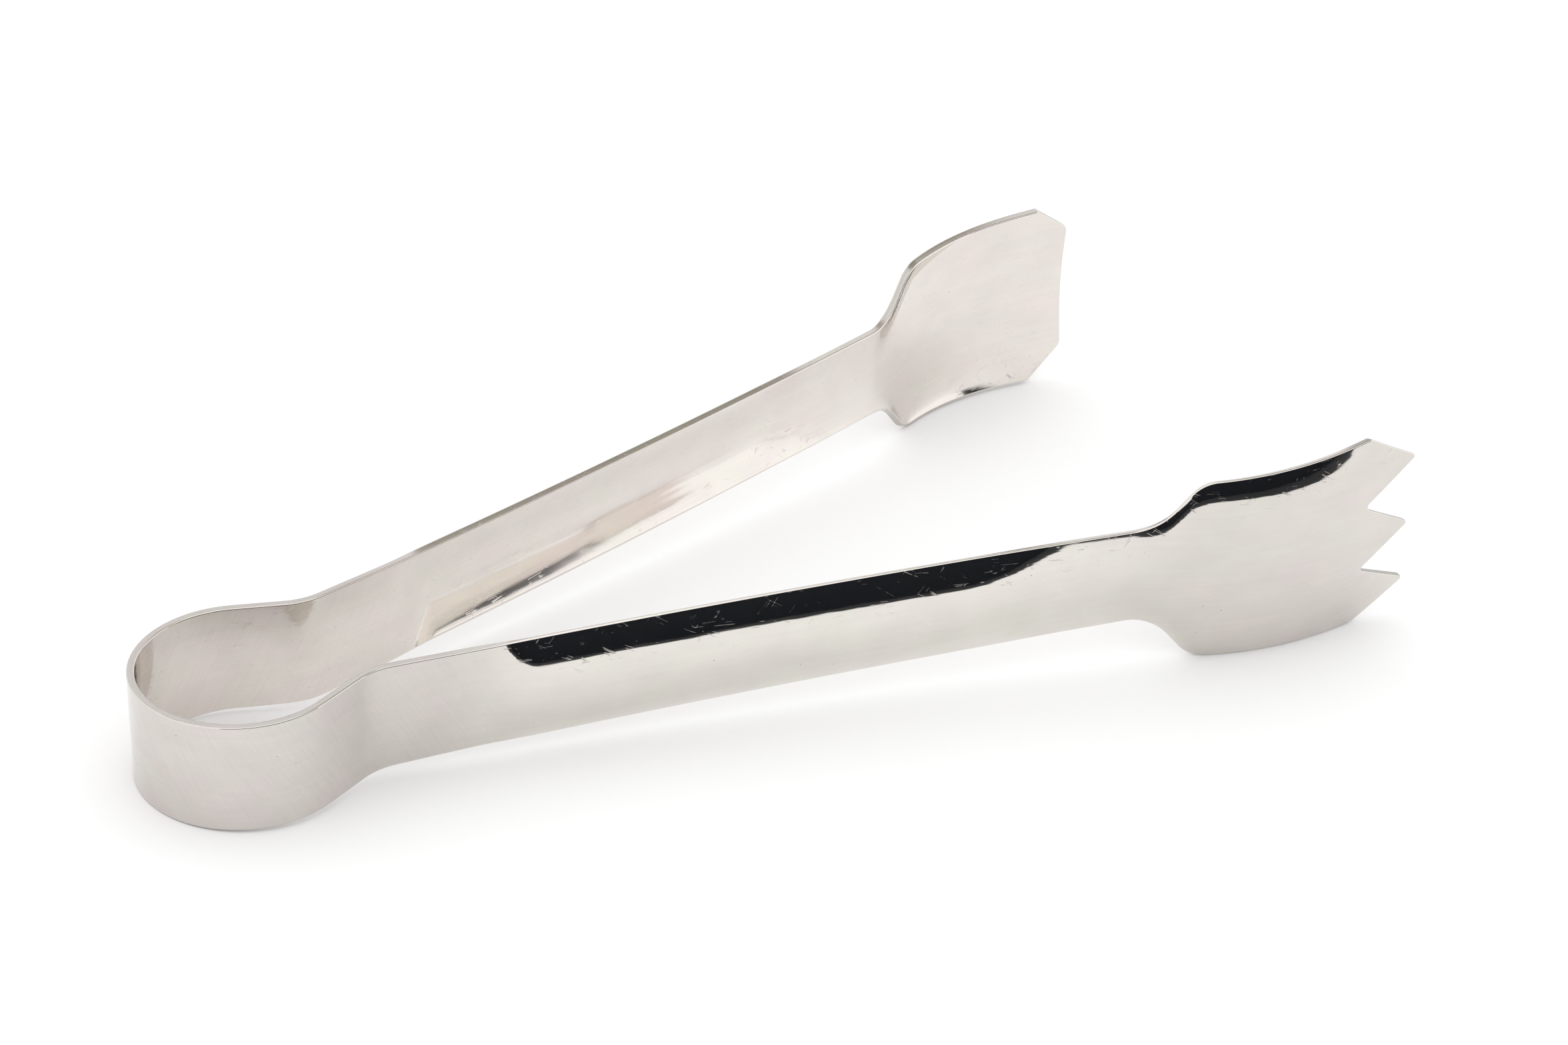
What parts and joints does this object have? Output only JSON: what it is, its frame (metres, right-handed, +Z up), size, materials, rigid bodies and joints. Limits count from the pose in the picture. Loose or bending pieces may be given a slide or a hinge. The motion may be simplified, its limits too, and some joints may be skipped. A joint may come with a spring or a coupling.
{
  "type": "ice tongs",
  "caption": "Small ice tongs bent from one polished steel strip: round spring bow, waisted neck, channelled arms, toothed fork head and plain scoop head.",
  "frame": {"origin": "on the surface the tongs rest on, under the middle of their bounding box at rest", "axes": "+X from the spring bow towards the heads; +Y from the fork arm towards the scoop arm; +Z up, across the width of the strip. The strip leans back by about 2.5 degrees, so that its bow and both heads touch the surface."},
  "size_m": [0.18, 0.0862, 0.0308],
  "materials": {
    "polished_steel": "mirror-polished stainless steel with fine polishing lines, small scratches and faint smudges"
  },
  "bodies": {
    "crown": {"bow_crown": "polished_steel"},
    "fork_bow_rear": {"fork_bow_rear": "polished_steel"},
    "fork_bow_front": {"fork_bow_front": "polished_steel"},
    "fork_neck": {"fork_neck": "polished_steel"},
    "fork_arm": {"fork_arm": "polished_steel", "fork_head": "polished_steel"},
    "scoop_bow_rear": {"scoop_bow_rear": "polished_steel"},
    "scoop_bow_front": {"scoop_bow_front": "polished_steel"},
    "scoop_neck": {"scoop_neck": "polished_steel"},
    "scoop_arm": {"scoop_arm": "polished_steel", "scoop_head": "polished_steel"}
  },
  "joints": [
    {"name": "fork_crown_flex", "type": "hinge", "parent": "crown", "child": "fork_bow_rear", "pos_m": [-0.08744, -0.00645, 0.00814], "axis": [-0.0436, 0, 0.9991], "range_deg": [-1, 3.45], "stiffness_Nm_per_rad": 27},
    {"name": "fork_bow_flex", "type": "hinge", "parent": "fork_bow_rear", "child": "fork_bow_front", "pos_m": [-0.07914, -0.01322, 0.0085], "axis": [-0.0436, 0, 0.9991], "range_deg": [-1, 3.45], "stiffness_Nm_per_rad": 27},
    {"name": "fork_flank_flex", "type": "hinge", "parent": "fork_bow_front", "child": "fork_neck", "pos_m": [-0.06844, -0.01227, 0.00897], "axis": [-0.0436, 0, 0.9991], "range_deg": [-1, 3.45], "stiffness_Nm_per_rad": 27},
    {"name": "fork_root_flex", "type": "hinge", "parent": "fork_neck", "child": "fork_arm", "pos_m": [-0.055, -0.0102, 0.00955], "axis": [-0.0436, 0, 0.9991], "range_deg": [-1, 3.45], "stiffness_Nm_per_rad": 27},
    {"name": "scoop_crown_flex", "type": "hinge", "parent": "crown", "child": "scoop_bow_rear", "pos_m": [-0.08744, 0.00699, 0.00814], "axis": [0.0436, 0, -0.9991], "range_deg": [-1, 3.45], "stiffness_Nm_per_rad": 27},
    {"name": "scoop_bow_flex", "type": "hinge", "parent": "scoop_bow_rear", "child": "scoop_bow_front", "pos_m": [-0.07914, 0.01376, 0.0085], "axis": [0.0436, 0, -0.9991], "range_deg": [-1, 3.45], "stiffness_Nm_per_rad": 27},
    {"name": "scoop_flank_flex", "type": "hinge", "parent": "scoop_bow_front", "child": "scoop_neck", "pos_m": [-0.06844, 0.01281, 0.00897], "axis": [0.0436, 0, -0.9991], "range_deg": [-1, 3.45], "stiffness_Nm_per_rad": 27},
    {"name": "scoop_root_flex", "type": "hinge", "parent": "scoop_neck", "child": "scoop_arm", "pos_m": [-0.055, 0.01073, 0.00955], "axis": [0.0436, 0, -0.9991], "range_deg": [-1, 3.45], "stiffness_Nm_per_rad": 27}
  ]
}
